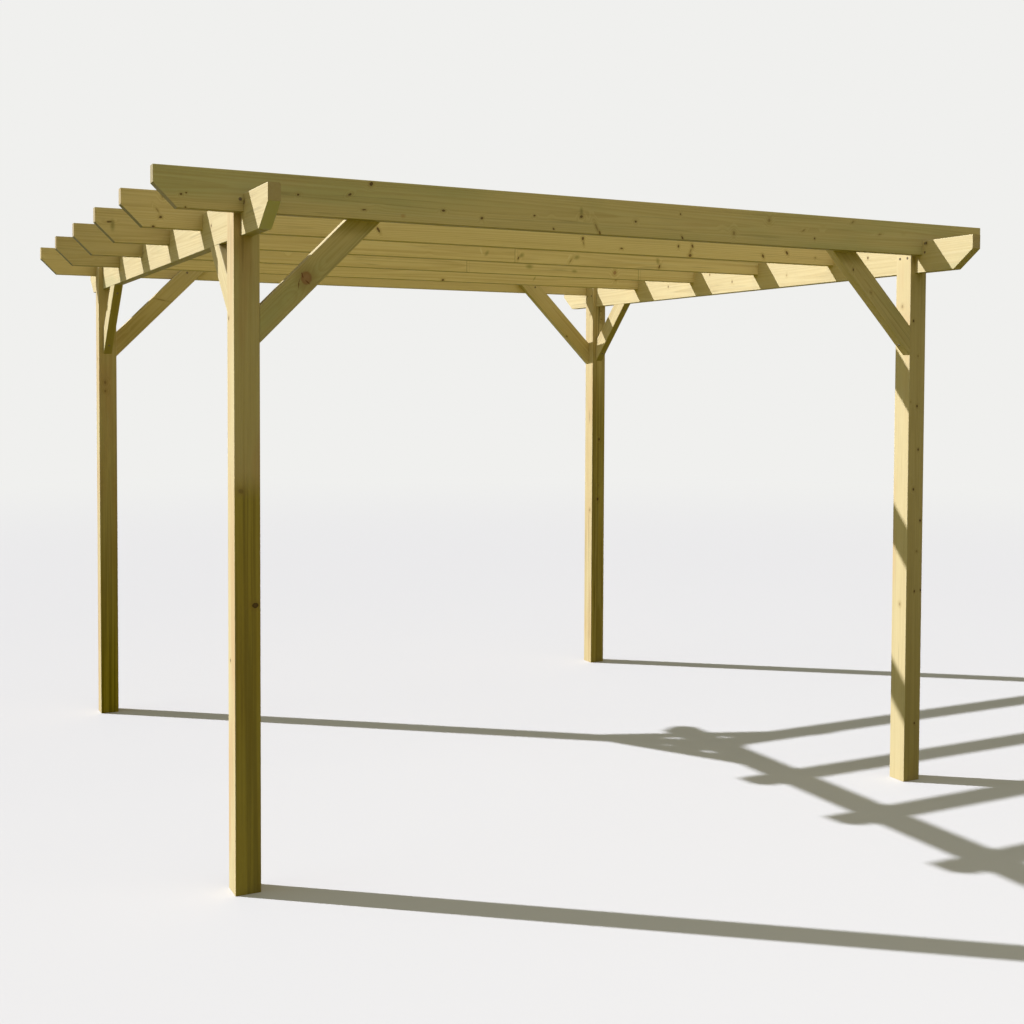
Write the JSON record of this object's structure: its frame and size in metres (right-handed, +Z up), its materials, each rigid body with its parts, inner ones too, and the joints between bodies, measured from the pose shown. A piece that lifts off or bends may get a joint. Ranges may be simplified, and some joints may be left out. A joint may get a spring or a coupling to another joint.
{
  "type": "wooden pergola",
  "caption": "Free-standing timber pergola: slotted square posts carry side beams, rafters are cross-halved over them with sloping ends, and knee braces stiffen each corner.",
  "frame": {"origin": "on the ground at the centre of the frame, between the four posts", "axes": "+X along the rafters to the right, +Y along the side beams from front to back, +Z up"},
  "size_m": [3.845, 3.735, 2.605],
  "materials": {
    "post_timber": "planed pressure-treated softwood, matt",
    "roof_timber": "planed pressure-treated softwood, matt",
    "brace_timber": "planed pressure-treated softwood, matt",
    "fixings": "dulled countersunk wood screws"
  },
  "bodies": {
    "root": {"front_left_post": "post_timber", "front_right_post": "post_timber", "back_left_post": "post_timber", "back_right_post": "post_timber", "left_beam": "roof_timber", "right_beam": "roof_timber", "rafter_1": "roof_timber", "rafter_2": "roof_timber", "rafter_3": "roof_timber", "rafter_4": "roof_timber", "rafter_5": "roof_timber", "rafter_6": "roof_timber", "front_left_beam_brace": "brace_timber", "front_left_rafter_brace": "brace_timber", "front_right_beam_brace": "brace_timber", "front_right_rafter_brace": "brace_timber", "back_left_beam_brace": "brace_timber", "back_left_rafter_brace": "brace_timber", "back_right_beam_brace": "brace_timber", "back_right_rafter_brace": "brace_timber"}
  },
  "joints": []
}
